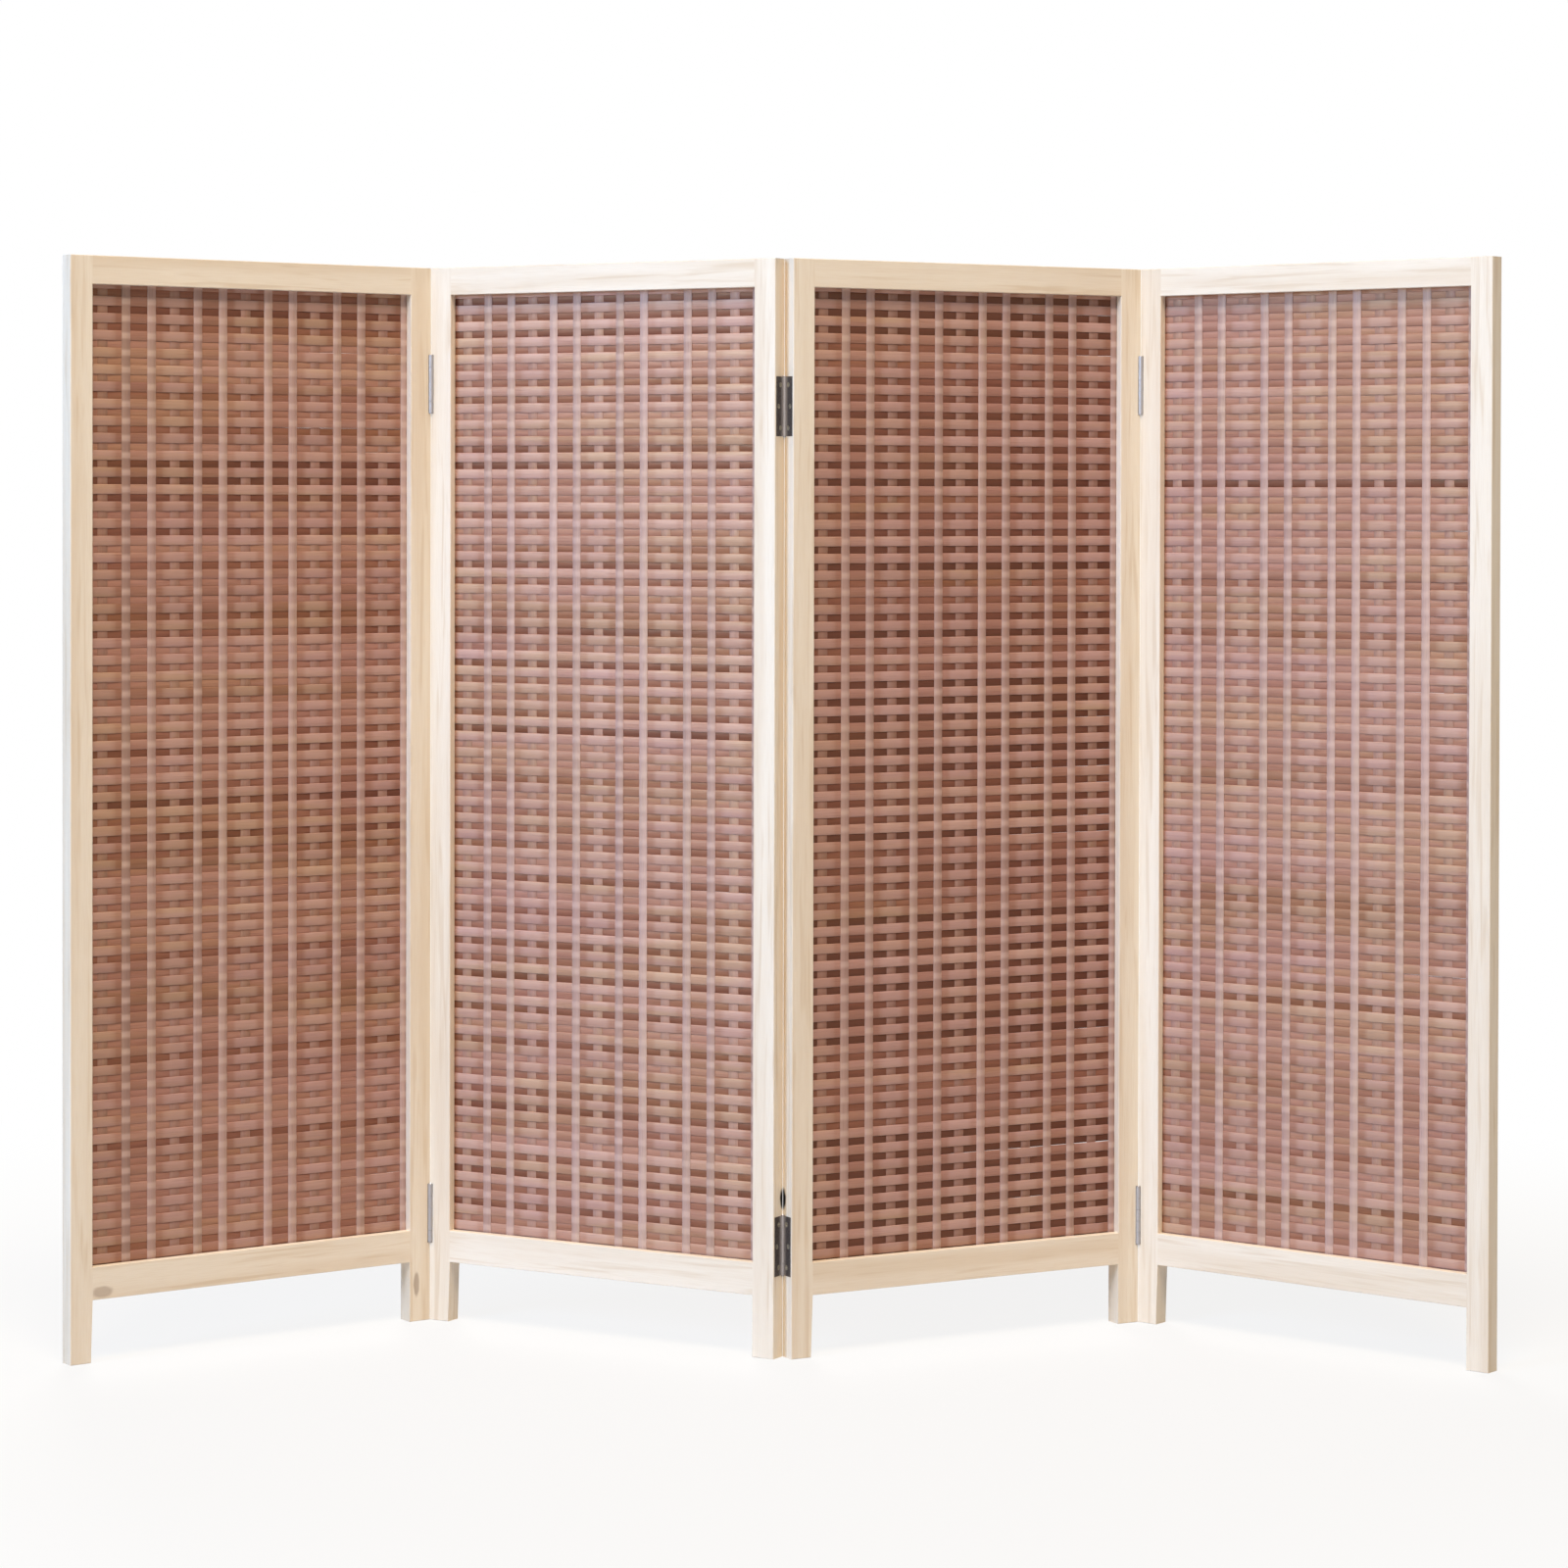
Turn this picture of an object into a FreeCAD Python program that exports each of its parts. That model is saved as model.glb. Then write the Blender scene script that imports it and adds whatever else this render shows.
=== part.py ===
"""Four-panel folding screen: pine frames, woven slat mats and butt hinges.

Millimetres, +Z up. The origin is under the middle of the screen as it stands,
half folded, on the floor. Each panel is made flat in its own frame, with x along
the panel from its left edge, y from the front face to the back face and z up
from the floor. Then it is turned and set in the zigzag, one hinge axis after
the other.
"""
import FreeCAD, Part
import math
import os

from FreeCAD import Placement, Rotation, Vector

# Panel frame
panel_height = 1200.0
panel_width = 450.0
panel_thickness = 20.0
stile_width = 26.5
top_rail_height = 31.0
bottom_rail_height = 36.0
leg_length = 68.0
left_leg_taper = 2.2
right_leg_taper = 0.0
arris_ease = 0.6
front_lip = 9.0
rebate_width = 8.0

# How the panels stand, in degrees: the turn of the first one, and the fold at each joint
first_panel_angle = 35.5
fold_angles = (64.8, 57.8, 66.9)
valley, ridge = "valley", "ridge"
joint_kinds = (valley, ridge, valley)

# Dowels between rails and stiles
dowel_radius = 3.0
dowel_length = 30.0
dowel_spacing = 11.0
dowel_clearance = 0.1
dowel_end_gap = 1.0

# Woven mat: wide slats in front, narrow slats behind, pale binding strips in pairs
# over the wide slats, and core strips between the two layers
mat_clearance = 1.0
wide_slat_width = 10.8
wide_slat_thickness = 1.8
narrow_slat_width = 7.2
narrow_slat_thickness = 1.5
slat_gap = 0.3
slat_bevel = 1.1
binding_width = 10.5
binding_thickness = 1.0
core_width = 12.0
core_thickness = 0.6
strip_repeat = 87.5
first_core_place = 16.5
core_to_binding = 28.0
binding_spacing = 31.0

# Beads that hold the mat in its rebate
bead_fit = 0.2
bead_recess = 0.5
bead_bevel = 2.0

# Butt hinges, let into the edges of the stiles. The axis stands just proud of the face
# that the two panels fold together on, so that their edges all but meet at every fold
hinge_length = 65.0
joint_gap = 0.3
axis_proud = 0.15
leaf_thickness = 1.5
leaf_gap = 0.5
leaf_edge_margin = 2.5
mortise_clearance = 0.2
knuckle_radius = 3.0
knuckle_count = 5
knuckle_clearance = 0.3
pin_radius = 1.5
pin_clearance = 0.06
pin_head_radius = 2.4
pin_head_height = 1.0
pin_head_gap = 0.1
lower_hinge_lift = 18.0
upper_hinge_drop = 132.0
ridge_hinge_drop = 29.0

# Hinge screws
screw_count = 3
screw_pitch = 23.5
screw_stagger = 2.0
screw_head_radius = 2.9
screw_shank_radius = 1.5
screw_shank_length = 12.0
screw_clearance = 0.08
pilot_end_gap = 0.5

# Cuts run past the face they start from by this much
overrun = 2.0

# Worked out from the sizes above
opening_width = panel_width - 2 * stile_width
opening_bottom = leg_length + bottom_rail_height
opening_top = panel_height - top_rail_height
opening_height = opening_top - opening_bottom
mat_width = opening_width + 2 * (rebate_width - mat_clearance)
mat_height = opening_height + 2 * (rebate_width - mat_clearance)
wide_slat_front = front_lip + binding_thickness
core_front = wide_slat_front + wide_slat_thickness
narrow_slat_front = core_front + core_thickness
bead_front = narrow_slat_front + narrow_slat_thickness
leaf_face = leaf_gap / 2
leaf_back = leaf_face + leaf_thickness
leaf_reach = axis_proud + panel_thickness - leaf_edge_margin
barrel_half_length = hinge_length / 2 + pin_head_gap + pin_head_height
bore_radius = pin_radius + pin_clearance


def box(x0, y0, z0, x1, y1, z1):
    """A block between two opposite corners."""
    return Part.makeBox(x1 - x0, y1 - y0, z1 - z0, Vector(x0, y0, z0))


def prism(points, direction):
    """A closed outline pushed along a vector."""
    return Part.Face(Part.makePolygon(points + [points[0]])).extrude(direction)


def rectangle(x0, z0, x1, z1, y):
    """A closed rectangle standing in the plane at depth y."""
    corners = [Vector(x0, y, z0), Vector(x1, y, z0), Vector(x1, y, z1), Vector(x0, y, z1)]
    return Part.makePolygon(corners + [corners[0]])


def slab(x0, z0, x1, z1, y0, y1, back_inset):
    """A rectangle at depth y0 that is drawn in by back_inset all round at depth y1."""
    near = rectangle(x0, z0, x1, z1, y0)
    far = rectangle(x0 + back_inset, z0 + back_inset, x1 - back_inset, z1 - back_inset, y1)
    return Part.makeLoft([near, far], True, True)


# Frame members

def eased_envelope():
    """The panel's outer block with its front and back arrises eased."""
    middle = box(0, arris_ease, 0, panel_width, panel_thickness - arris_ease, panel_height)
    front = slab(0, 0, panel_width, panel_height, arris_ease, 0, arris_ease)
    back = slab(0, 0, panel_width, panel_height, panel_thickness - arris_ease, panel_thickness, arris_ease)
    return middle.fuse([front, back]).removeSplitter()


def opening_ease():
    """What is cut away to ease the front edge all round the opening."""
    left, right = stile_width, panel_width - stile_width
    return slab(left - arris_ease, opening_bottom - arris_ease, right + arris_ease,
                opening_top + arris_ease, 0, arris_ease, arris_ease)


def rebate():
    """The step in the back of the frame that takes the mat and its beads."""
    left, right = stile_width - rebate_width, panel_width - stile_width + rebate_width
    return box(left, front_lip, opening_bottom - rebate_width,
               right, panel_thickness + overrun, opening_top + rebate_width)


def dowel_places():
    """Where the dowels lie: (x of the joint face, height)."""
    rail_middles = (
        (leg_length + opening_bottom - rebate_width) / 2,
        (opening_top + rebate_width + panel_height) / 2,
    )
    places = []
    for joint_face in (stile_width, panel_width - stile_width):
        for middle in rail_middles:
            places.append((joint_face, middle - dowel_spacing / 2))
            places.append((joint_face, middle + dowel_spacing / 2))
    return places


def dowel_solids(radius, length):
    """Cylinders of this size, each centred on the joint face between rail and stile."""
    along = Vector(1, 0, 0)
    middle_depth = panel_thickness / 2
    return [
        Part.makeCylinder(radius, length, Vector(face - length / 2, middle_depth, height), along)
        for face, height in dowel_places()
    ]


def hinge_corner(edge, kind):
    """The arris beside a joint's axis. It stays sharp, so that the two panels meet there."""
    left = 0 if edge == "left" else panel_width - arris_ease
    front = 0 if kind == valley else panel_thickness - arris_ease
    return box(left, front, 0, left + arris_ease, front + arris_ease, panel_height)


def stile(edge, corners, cuts):
    """The stile with its leg at the panel's left or right edge."""
    foot_width = stile_width - (left_leg_taper if edge == "left" else right_leg_taper)
    outline = [
        Vector(0, 0, 0), Vector(foot_width, 0, 0), Vector(stile_width, 0, leg_length),
        Vector(stile_width, 0, panel_height), Vector(0, 0, panel_height),
    ]
    if edge == "right":
        outline = [Vector(panel_width - p.x, p.y, p.z) for p in outline]
    blank = prism(outline, Vector(0, panel_thickness, 0)).common(eased_envelope())
    if corners:
        blank = blank.fuse(corners)
    holes = dowel_solids(dowel_radius + dowel_clearance, dowel_length + 2 * dowel_end_gap)
    return blank.removeSplitter().cut([rebate(), opening_ease()] + holes + cuts)


def rail(bottom, top):
    """A rail between the stiles."""
    blank = box(stile_width, 0, bottom, panel_width - stile_width, panel_thickness, top)
    eased = blank.common(eased_envelope()) if top == panel_height else blank.cut(lower_arrises(bottom))
    holes = dowel_solids(dowel_radius + dowel_clearance, dowel_length + 2 * dowel_end_gap)
    return eased.cut([rebate(), opening_ease()] + holes)


def lower_arrises(height):
    """Two wedges that ease the bottom edges of the lower rail."""
    wedges = []
    for face, inward in ((0, 1), (panel_thickness, -1)):
        outline = [
            Vector(stile_width, face, height),
            Vector(stile_width, face + inward * arris_ease, height),
            Vector(stile_width, face, height + arris_ease),
        ]
        wedges.append(prism(outline, Vector(opening_width, 0, 0)))
    return wedges


def beads():
    """Four mitred strips that close the rebate behind the mat."""
    outer_left = stile_width - rebate_width + bead_fit
    outer_bottom = opening_bottom - rebate_width + bead_fit
    width = rebate_width - bead_fit
    back = panel_thickness - bead_recess
    middle_x = panel_width / 2
    middle_z = (opening_bottom + opening_top) / 2
    section = [
        (0, bead_front), (width, bead_front), (width, back - bead_bevel),
        (width - bead_bevel, back), (0, back),
    ]

    def corner(side_x, side_z):
        points = []
        for inward, depth in section:
            x = outer_left + inward
            z = outer_bottom + inward
            points.append(Vector(middle_x + side_x * (middle_x - x), depth,
                                 middle_z + side_z * (middle_z - z)))
        return Part.makePolygon(points + [points[0]])

    corners = [corner(-1, -1), corner(1, -1), corner(1, 1), corner(-1, 1)]
    return [
        Part.makeLoft([corners[i], corners[(i + 1) % len(corners)]], True, True)
        for i in range(len(corners))
    ]


# Woven mat

def slat(bottom, width, flat_depth, round_depth):
    """A split slat: flat at one depth, with its long edges taken off at the other."""
    left = (panel_width - mat_width) / 2
    section = [
        Vector(left, flat_depth, bottom), Vector(left, flat_depth, bottom + width),
        Vector(left, round_depth, bottom + width - slat_bevel),
        Vector(left, round_depth, bottom + slat_bevel),
    ]
    return prism(section, Vector(mat_width, 0, 0))


def slat_rows():
    """The height of each pair of slats, from the bottom of the mat up."""
    pair_pitch = wide_slat_width + narrow_slat_width + 2 * slat_gap
    pairs = int(mat_height / pair_pitch)
    spare = mat_height - pairs * pair_pitch + slat_gap
    start = opening_bottom - rebate_width + mat_clearance + spare / 2
    return [start + row * pair_pitch for row in range(pairs)]


def wide_slats():
    """The front layer, with its rounded side to the front."""
    return [
        slat(row + narrow_slat_width + slat_gap, wide_slat_width, core_front, wide_slat_front)
        for row in slat_rows()
    ]


def narrow_slats():
    """The back layer, with its rounded side to the back."""
    return [slat(row, narrow_slat_width, narrow_slat_front, bead_front) for row in slat_rows()]


def strips(places, width, front, thickness):
    """Flat upright strips as high as the mat, at places measured from the opening's left edge."""
    bottom = opening_bottom - rebate_width + mat_clearance
    solids = []
    for place in places:
        left = stile_width + place - width / 2
        solids.append(box(left, front, bottom, left + width, front + thickness, bottom + mat_height))
    return solids


def strip_places():
    """Places of the core strips and of the binding strips across the opening."""
    cores, bindings = [], []
    reach = opening_width
    place = first_core_place
    while place < reach:
        cores.append(place)
        bindings.append(place + core_to_binding)
        bindings.append(place + core_to_binding + binding_spacing)
        place += strip_repeat
    return cores, [b for b in bindings if b < reach]


# Hinges, each made about its own axis: the axis is x = y = 0 and the middle of the
# hinge is z = 0. side is -1 for the leaf on the panel to the left of the joint and 1
# for the other, and inward is the way from the axis into the joint.

def knuckle_heights(of_left_leaf):
    """The (bottom, top) of each knuckle of one leaf; the left leaf has the end ones."""
    pitch = hinge_length / knuckle_count
    spans = []
    for i in range(knuckle_count):
        if (i % 2 == 0) == of_left_leaf:
            low = -hinge_length / 2 + i * pitch
            spans.append((low, low + pitch))
    return spans


def screw_places():
    """The (depth into the joint from the near face, height) of each screw in a leaf."""
    places = []
    for i in range(screw_count):
        height = (i - (screw_count - 1) / 2) * screw_pitch
        stagger = screw_stagger if i % 2 else -screw_stagger
        places.append((panel_thickness / 2 + stagger, height))
    return places


def hinge_leaf(side, inward):
    """A leaf with its knuckles and countersunk holes."""
    face = side * leaf_face
    back = side * leaf_back
    tip = inward * leaf_reach
    half = hinge_length / 2
    plate = box(min(back, face), min(0, tip), -half, max(back, face), max(0, tip), half)
    notch_radius = knuckle_radius + knuckle_clearance
    notches = [
        box(-notch_radius, -notch_radius, low - knuckle_clearance / 2,
            notch_radius, notch_radius, high + knuckle_clearance / 2)
        for low, high in knuckle_heights(side > 0)
    ]
    knuckles = []
    for low, high in knuckle_heights(side < 0):
        bottom = low + (knuckle_clearance / 2 if low > -half else 0)
        top = high - (knuckle_clearance / 2 if high < half else 0)
        knuckles.append(Part.makeCylinder(knuckle_radius, top - bottom, Vector(0, 0, bottom)))
    bore = Part.makeCylinder(bore_radius, hinge_length + 2 * overrun, Vector(0, 0, -half - overrun))
    countersinks = [
        Part.makeCone(screw_head_radius + screw_clearance, screw_shank_radius + screw_clearance,
                      leaf_thickness, Vector(face, inward * (axis_proud + depth), height), Vector(side, 0, 0))
        for depth, height in screw_places()
    ]
    return plate.cut(notches).fuse(knuckles).cut([bore] + countersinks).removeSplitter()


def hinge_pin():
    """The pin, with a low button head at each end."""
    half = hinge_length / 2 + pin_head_gap
    top = half + pin_head_height
    rim = pin_head_height / 2
    profile = [
        Vector(0, 0, -top), Vector(pin_head_radius - rim, 0, -top), Vector(pin_head_radius, 0, -top + rim),
        Vector(pin_head_radius, 0, -half), Vector(pin_radius, 0, -half), Vector(pin_radius, 0, half),
        Vector(pin_head_radius, 0, half), Vector(pin_head_radius, 0, top - rim),
        Vector(pin_head_radius - rim, 0, top), Vector(0, 0, top),
    ]
    face = Part.Face(Part.makePolygon(profile + [profile[0]]))
    return face.revolve(Vector(0, 0, 0), Vector(0, 0, 1), 360)


def hinge_screws(side, inward):
    """The flat-head screws of one leaf, with their shanks in the stile."""
    into_wood = Vector(side, 0, 0)
    solids = []
    for depth, height in screw_places():
        y = inward * (axis_proud + depth)
        head = Part.makeCone(screw_head_radius, screw_shank_radius, leaf_thickness,
                             Vector(side * leaf_face, y, height), into_wood)
        shank = Part.makeCylinder(screw_shank_radius, screw_shank_length,
                                  Vector(side * leaf_back, y, height), into_wood)
        solids.append(head.fuse(shank).removeSplitter())
    return solids


def hinge_cuts(side, inward):
    """What is cut out of a stile for one leaf: its seat, the room for the barrel and the screw holes."""
    back = side * leaf_back
    tip = inward * (leaf_reach + mortise_clearance)
    half = hinge_length / 2 + mortise_clearance
    seat = box(min(back, 0), min(0, tip), -half, max(back, 0), max(0, tip), half)
    room = barrel_half_length + mortise_clearance
    barrel = Part.makeCylinder(knuckle_radius + knuckle_clearance, 2 * room, Vector(0, 0, -room))
    depth_of_hole = screw_shank_length + pilot_end_gap
    holes = [
        Part.makeCylinder(screw_shank_radius + screw_clearance, depth_of_hole + overrun,
                          Vector(back - side * overrun, inward * (axis_proud + depth), height),
                          Vector(side, 0, 0))
        for depth, height in screw_places()
    ]
    return [seat, barrel] + holes


# Places of the panels and joints

def axis_depth(kind):
    """The depth of a joint's axis in its panels' frames."""
    return -axis_proud if kind == valley else panel_thickness + axis_proud


def hinge_heights(kind):
    """The middle heights of a joint's two hinges, by name.

    The lower one stands above the bottom rail, and the upper one is let down from the
    panel's top, by a little more at the ridge.
    """
    upper = panel_height - upper_hinge_drop
    if kind == ridge:
        upper -= ridge_hinge_drop
    return {"lower": opening_bottom + lower_hinge_lift, "upper": upper}


def at_joint(shape, kind, left_panel, height):
    """A hinge piece moved to its joint, in the frame of the panel that it is fixed to."""
    x = panel_width + joint_gap / 2 if left_panel else -joint_gap / 2
    moved = shape.copy()
    moved.translate(Vector(x, axis_depth(kind), height))
    return moved


def panel_turns():
    """The turn of each panel about the vertical."""
    turns = [first_panel_angle]
    for kind, fold in zip(joint_kinds, fold_angles):
        turns.append(turns[-1] + (-fold if kind == valley else fold))
    return turns


def chained_placements():
    """Each panel's placement, with the first panel's left front edge at the origin."""
    turns = panel_turns()
    up = Vector(0, 0, 1)
    corner = Vector(0, 0, 0)
    placements = [Placement(corner, Rotation(up, turns[0]))]
    for kind, turn in zip(joint_kinds, turns[1:]):
        axis = placements[-1].multVec(Vector(panel_width + joint_gap / 2, axis_depth(kind), 0))
        rotation = Rotation(up, turn)
        placements.append(Placement(axis - rotation.multVec(Vector(-joint_gap / 2, axis_depth(kind), 0)), rotation))
    return placements


def centred_placements():
    """The same placements, with the origin under the middle of the whole screen."""
    placements = chained_placements()
    envelope = eased_envelope()
    low = Vector(math.inf, math.inf, 0)
    high = Vector(-math.inf, -math.inf, 0)
    for placement in placements:
        for vertex in envelope.Vertexes:
            point = placement.multVec(vertex.Point)
            low = Vector(min(low.x, point.x), min(low.y, point.y), 0)
            high = Vector(max(high.x, point.x), max(high.y, point.y), 0)
    shift = (low + high) * -0.5
    return [Placement(p.Base + shift, p.Rotation) for p in placements]


def write(name, solids, placement):
    """Places the solids of one node and writes them to its file."""
    placed = []
    for solid in solids:
        copy = solid.copy()
        copy.Placement = placement.multiply(copy.Placement)
        placed.append(copy)
    shape = placed[0] if len(placed) == 1 else Part.makeCompound(placed)
    shape.exportStep("parts/" + name + ".step")
    print(name, len(placed), "solid(s), valid", shape.isValid(), "volume", round(sum(s.Volume for s in placed), 1))


def build_panel(index, placement):
    """Writes the frame, the mat and the screws of one panel."""
    name = "panel_" + str(index + 1) + "_"
    cuts = {"left": [], "right": []}
    corners = {"left": [], "right": []}
    screws = []
    joints = []
    if index > 0:
        joints.append(("left", 1, joint_kinds[index - 1]))
    if index < len(joint_kinds):
        joints.append(("right", -1, joint_kinds[index]))
    for edge, side, kind in joints:
        inward = 1 if kind == valley else -1
        corners[edge].append(hinge_corner(edge, kind))
        for height in hinge_heights(kind).values():
            for cut in hinge_cuts(side, inward):
                cuts[edge].append(at_joint(cut, kind, edge == "right", height))
            for screw in hinge_screws(side, inward):
                screws.append(at_joint(screw, kind, edge == "right", height))
    cores, bindings = strip_places()
    for edge in ("left", "right"):
        write(name + edge + "_stile", [stile(edge, corners[edge], cuts[edge])], placement)
    write(name + "top_rail", [rail(opening_top, panel_height)], placement)
    write(name + "bottom_rail", [rail(leg_length, opening_bottom)], placement)
    write(name + "dowels", dowel_solids(dowel_radius, dowel_length), placement)
    write(name + "mat_wide_slats", wide_slats(), placement)
    write(name + "mat_narrow_slats", narrow_slats(), placement)
    binding_strips = strips(bindings, binding_width, front_lip, binding_thickness)
    core_strips = strips(cores, core_width, core_front, core_thickness)
    write(name + "mat_strips", binding_strips + core_strips, placement)
    write(name + "mat_beads", beads(), placement)
    write(name + "hinge_screws", screws, placement)


def build_joint(index, left_placement, right_placement):
    """Writes the two hinges between a panel and the next one."""
    kind = joint_kinds[index]
    inward = 1 if kind == valley else -1
    for level, height in hinge_heights(kind).items():
        name = "hinge_" + str(index + 1) + "_" + str(index + 2) + "_" + level + "_"
        left_leaf = at_joint(hinge_leaf(-1, inward), kind, True, height)
        right_leaf = at_joint(hinge_leaf(1, inward), kind, False, height)
        write(name + "left_leaf", [left_leaf], left_placement)
        write(name + "right_leaf", [right_leaf], right_placement)
        write(name + "pin", [at_joint(hinge_pin(), kind, True, height)], left_placement)


def main():
    os.makedirs("parts", exist_ok=True)
    placements = centred_placements()
    for index, placement in enumerate(placements):
        build_panel(index, placement)
    for index in range(len(joint_kinds)):
        build_joint(index, placements[index], placements[index + 1])


main()
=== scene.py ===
import math

import bmesh
import bpy
from mathutils import Matrix, Vector


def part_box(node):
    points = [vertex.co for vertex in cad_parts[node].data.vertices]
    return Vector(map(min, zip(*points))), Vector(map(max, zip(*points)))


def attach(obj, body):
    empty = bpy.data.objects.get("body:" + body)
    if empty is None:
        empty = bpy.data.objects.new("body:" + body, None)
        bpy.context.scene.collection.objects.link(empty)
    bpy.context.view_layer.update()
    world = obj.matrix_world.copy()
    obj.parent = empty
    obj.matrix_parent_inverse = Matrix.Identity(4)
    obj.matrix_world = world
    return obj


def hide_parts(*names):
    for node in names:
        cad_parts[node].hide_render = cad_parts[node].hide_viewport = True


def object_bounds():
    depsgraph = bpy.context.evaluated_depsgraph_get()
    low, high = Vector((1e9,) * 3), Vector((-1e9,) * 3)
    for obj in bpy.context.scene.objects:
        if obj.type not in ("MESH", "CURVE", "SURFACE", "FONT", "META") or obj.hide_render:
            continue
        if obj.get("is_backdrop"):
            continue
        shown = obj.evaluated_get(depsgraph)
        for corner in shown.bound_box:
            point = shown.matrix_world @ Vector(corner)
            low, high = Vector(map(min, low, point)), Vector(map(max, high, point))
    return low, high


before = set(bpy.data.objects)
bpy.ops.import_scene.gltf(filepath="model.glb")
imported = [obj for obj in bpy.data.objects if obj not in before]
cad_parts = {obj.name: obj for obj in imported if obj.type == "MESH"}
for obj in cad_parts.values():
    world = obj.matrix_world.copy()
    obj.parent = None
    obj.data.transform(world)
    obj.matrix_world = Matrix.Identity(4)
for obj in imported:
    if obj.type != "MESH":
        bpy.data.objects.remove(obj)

mm = 0.001
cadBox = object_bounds()
scene = bpy.context.scene
print("frame loaded:", len(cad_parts), "nodes")


# helpers for node trees, used by both materials and geometry

def feed(tree, socket, value):
    # links another node's output, or sets a plain value
    if isinstance(value, bpy.types.NodeSocket):
        tree.links.new(value, socket)
    else:
        socket.default_value = value


def put(tree, kind, inputs=None, **settings):
    made = tree.nodes.new(kind)
    for key, value in settings.items():
        setattr(made, key, value)
    for key, value in (inputs or {}).items():
        feed(tree, made.inputs[key], value)
    return made


def calc(tree, operation, *values):
    return put(tree, "ShaderNodeMath", dict(enumerate(values)), operation=operation).outputs[0]


def vectorCalc(tree, operation, *values):
    made = put(tree, "ShaderNodeVectorMath", dict(enumerate(values)), operation=operation)
    return made.outputs["Value" if operation == "LENGTH" else "Vector"]


def vectorOf(tree, **parts):
    return put(tree, "ShaderNodeCombineXYZ", parts).outputs[0]


def partsOf(tree, vector):
    return put(tree, "ShaderNodeSeparateXYZ", {0: vector}).outputs


def ranged(tree, value, span, low, high, curve="SMOOTHSTEP"):
    return put(tree, "ShaderNodeMapRange", {
        "Value": value, "From Min": span[0], "From Max": span[1], "To Min": low, "To Max": high,
    }, interpolation_type=curve).outputs["Result"]


def noise(tree, place, scale, detail, roughness=0.5, distortion=0.0):
    return put(tree, "ShaderNodeTexNoise", {
        "Vector": place, "Scale": scale, "Detail": detail, "Roughness": roughness,
        "Distortion": distortion,
    }).outputs[0]


def stretched(tree, place, scale, shift=(0, 0, 0)):
    inputs = {"Vector": place, "Location": shift, "Scale": scale}
    return put(tree, "ShaderNodeMapping", inputs).outputs[0]


def mixColors(tree, amount, first, second, blend="MIX"):
    # sockets 6 and 7 are the node's two colours, output 2 their mix
    mixer = put(tree, "ShaderNodeMix", {"Factor": amount}, data_type="RGBA", blend_type=blend)
    feed(tree, mixer.inputs[6], first)
    feed(tree, mixer.inputs[7], second)
    return mixer.outputs[2]


def rgb(red, green, blue):
    # a colour as picked from a screen, made linear
    def linear(value):
        value /= 255
        return value / 12.92 if value <= 0.04045 else ((value + 0.055) / 1.055) ** 2.4
    return (linear(red), linear(green), linear(blue), 1.0)


# where each panel stands, read from its two stiles

panelCount = 4
panel = {
    "width": 450 * mm,
    "height": 1200 * mm,
    "thickness": 20 * mm,
    "stileWidth": 26.5 * mm,
}


def boxMiddle(node):
    low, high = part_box(node)
    return (low + high) / 2


def panelPlace(number):
    left = boxMiddle(f"panel_{number}_left_stile")
    right = boxMiddle(f"panel_{number}_right_stile")
    along = (right - left).normalized()
    up = Vector((0, 0, 1))
    back = up.cross(along)
    corner = (left + right) / 2 - along * panel["width"] / 2 - back * panel["thickness"] / 2
    turned = Matrix((along, back, up)).transposed().to_4x4()
    return Matrix.Translation((corner.x, corner.y, 0)) @ turned


panelPlaces = {number: panelPlace(number) for number in range(1, panelCount + 1)}
panelTurns = {number: place.to_euler().z for number, place in panelPlaces.items()}
print("panels turned by", [round(math.degrees(turn), 1) for turn in panelTurns.values()])


# materials

def newMaterial(name):
    material = bpy.data.materials.new(name)
    material.use_nodes = True
    tree = material.node_tree
    return material, tree, tree.nodes["Principled BSDF"]


def objectPlace(tree):
    return put(tree, "ShaderNodeTexCoord").outputs["Object"]


def attribute(tree, name, output="Fac"):
    return put(tree, "ShaderNodeAttribute", attribute_name=name).outputs[output]


def bumped(tree, shader, height, strength, distance):
    inputs = {"Height": height, "Strength": strength, "Distance": distance}
    tree.links.new(put(tree, "ShaderNodeBump", inputs).outputs[0], shader.inputs["Normal"])


frameWood = {
    "light": rgb(238, 229, 216),
    "dark": rgb(228, 214, 196),
    "grainLine": rgb(208, 186, 158),
    "knot": rgb(112, 76, 48),
    # near-black colour of the mark at the back of the V between panels 2 and 3
    "veeBlackMark": rgb(22, 15, 10),
    "endGrain": rgb(214, 192, 164),
    "alongStretch": 0.045,
    "toneNoise": {"scale": 38, "detail": 3},
    "toneSpan": (0.35, 0.68),
    "ringNoise": {"scale": 150, "detail": 2, "distortion": 0.6},
    "ringSpan": (0.52, 0.72),
    "ringShare": 0.45,
    "fibreNoise": {"scale": 900, "detail": 2},
    "fibreSpan": (0.4, 0.75),
    "fibreShare": 0.14,
    "endGrainSpan": (0.8, 0.9),
    "endGrainShare": 0.8,
    "roughness": (0.44, 0.58),
    "roughnessSpan": (0.3, 0.7),
    "ringHeight": 0.4,
    "fibreHeight": 0.6,
    "bumpStrength": 0.35,
    "bumpDepth": 0.15 * mm,
    "panelShift": (0.37, 0, 0.29),
    "boardShift": (0.11, 0.53, 0),
    "dowelShift": (0.2, 0, 0),
}
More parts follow.
